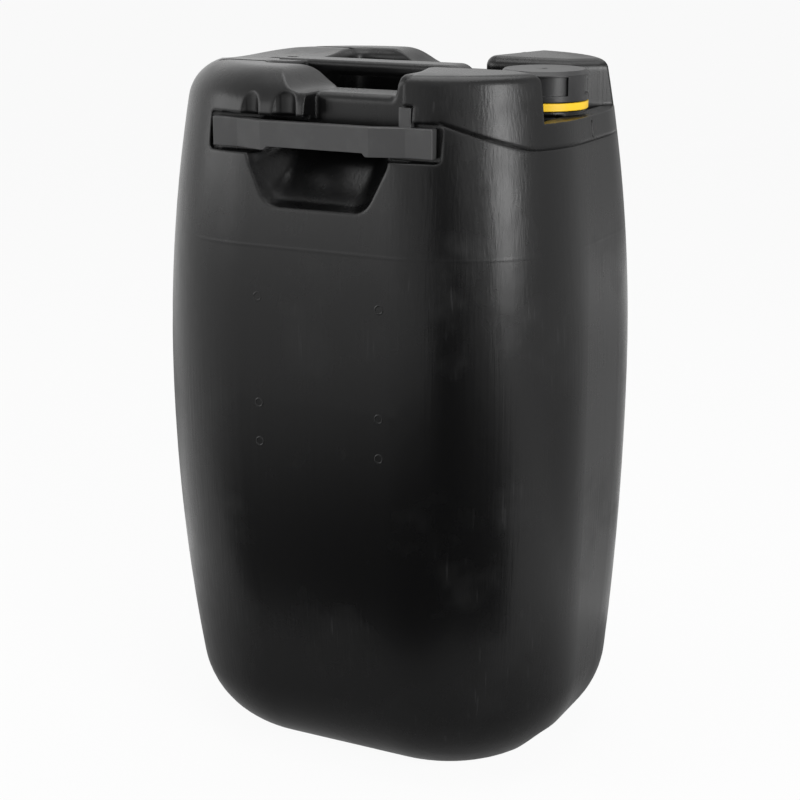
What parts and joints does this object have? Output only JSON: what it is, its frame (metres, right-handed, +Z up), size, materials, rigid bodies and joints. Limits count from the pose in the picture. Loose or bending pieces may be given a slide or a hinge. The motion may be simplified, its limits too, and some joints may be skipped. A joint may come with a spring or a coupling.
{
  "type": "stacking canister",
  "caption": "Tall blow-moulded stacking canister with a recessed top handle, clip-in side bars and a lobed screw cap over a tamper ring, for carrying and pouring liquids.",
  "frame": {"origin": "centre of the standing base, on the floor", "axes": "+Z up, +X towards the cap end, -Y towards the side that faces the viewer"},
  "size_m": [0.396, 0.328, 0.62],
  "materials": {
    "shell": "satin black polyethylene",
    "bar": "dull black polyethylene",
    "cap": "satin black polyethylene",
    "seal": "matt foam",
    "ring": "satin yellow-orange polyethylene"
  },
  "bodies": {
    "can": {"canister_body": "shell", "side_bar_left": "bar", "side_bar_right": "bar", "tamper_ring": "ring"},
    "liner": {"cap_seal": "seal"},
    "closure": {"screw_cap": "cap"}
  },
  "joints": [
    {"name": "cap_lift", "type": "slide", "parent": "can", "child": "liner", "axis": [0, 0, 1], "range_m": [0, 0.0301]},
    {"name": "cap_turn", "type": "hinge", "parent": "liner", "child": "closure", "pos_m": [0.137, 0, 0.6], "axis": [0, 0, 1], "range_deg": [0, 1800]}
  ],
  "couplings": [
    {"joint": "cap_lift", "follows": "cap_turn", "m_per_rad": 0.00095493}
  ]
}
